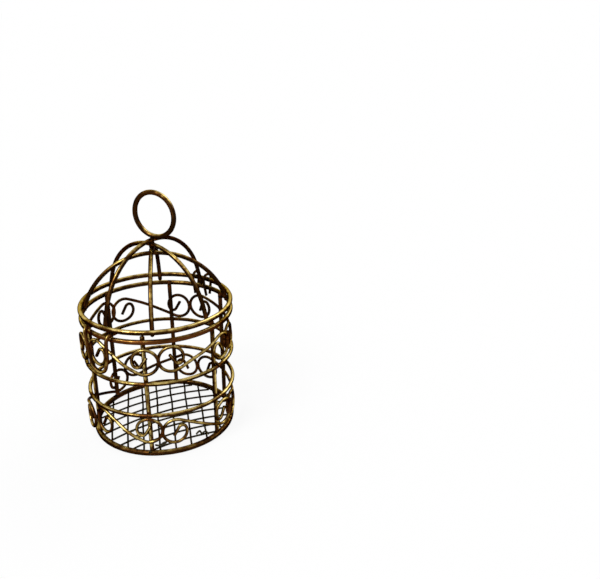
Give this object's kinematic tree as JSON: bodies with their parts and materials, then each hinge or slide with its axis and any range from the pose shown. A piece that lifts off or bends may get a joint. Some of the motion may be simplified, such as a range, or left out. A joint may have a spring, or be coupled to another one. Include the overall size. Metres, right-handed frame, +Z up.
{
  "type": "wire cage card box",
  "caption": "Round wire cage for wedding cards or favours, with scrollwork bands, a grid floor and a domed lid that swings open on two wire staples.",
  "frame": {"origin": "on the table, under the middle of the cage", "axes": "+Z up, hinge at +Y, hasp at -Y"},
  "size_m": [0.0629, 0.0658, 0.1016],
  "materials": {
    "antique_brass": "antiqued, dark brown in the hollows and rubbed bright on the outside",
    "dark_grid_wire": "dull dark plating",
    "coppered_wire": "satin, reddish"
  },
  "bodies": {
    "cage": {"base_ring": "antique_brass", "lower_hoop": "antique_brass", "upper_hoop": "antique_brass", "body_rim": "antique_brass", "upright_1": "antique_brass", "upright_2": "antique_brass", "upright_3": "antique_brass", "upright_4": "antique_brass", "upright_5": "antique_brass", "upright_6": "antique_brass", "floor_grid_lower": "dark_grid_wire", "floor_grid_upper": "dark_grid_wire", "lower_scroll_1": "antique_brass", "lower_scroll_2": "antique_brass", "lower_scroll_3": "antique_brass", "lower_scroll_4": "antique_brass", "lower_scroll_5": "antique_brass", "upper_scroll_1": "antique_brass", "upper_scroll_2": "antique_brass", "upper_scroll_3": "antique_brass", "upper_scroll_4": "antique_brass", "upper_scroll_5": "antique_brass", "hinge_staple_left": "coppered_wire", "hinge_staple_right": "coppered_wire"},
    "lid": {"lid_rim": "antique_brass", "lid_arch_1": "antique_brass", "lid_arch_2": "antique_brass", "lid_arch_3": "antique_brass", "lid_arch_4": "antique_brass", "carry_ring": "antique_brass", "hasp": "antique_brass"}
  },
  "joints": [
    {"name": "lid_hinge", "type": "hinge", "parent": "cage", "child": "lid", "pos_m": [0, 0.03, 0.0549], "axis": [-1, 0, 0], "range_deg": [0, 190]}
  ]
}
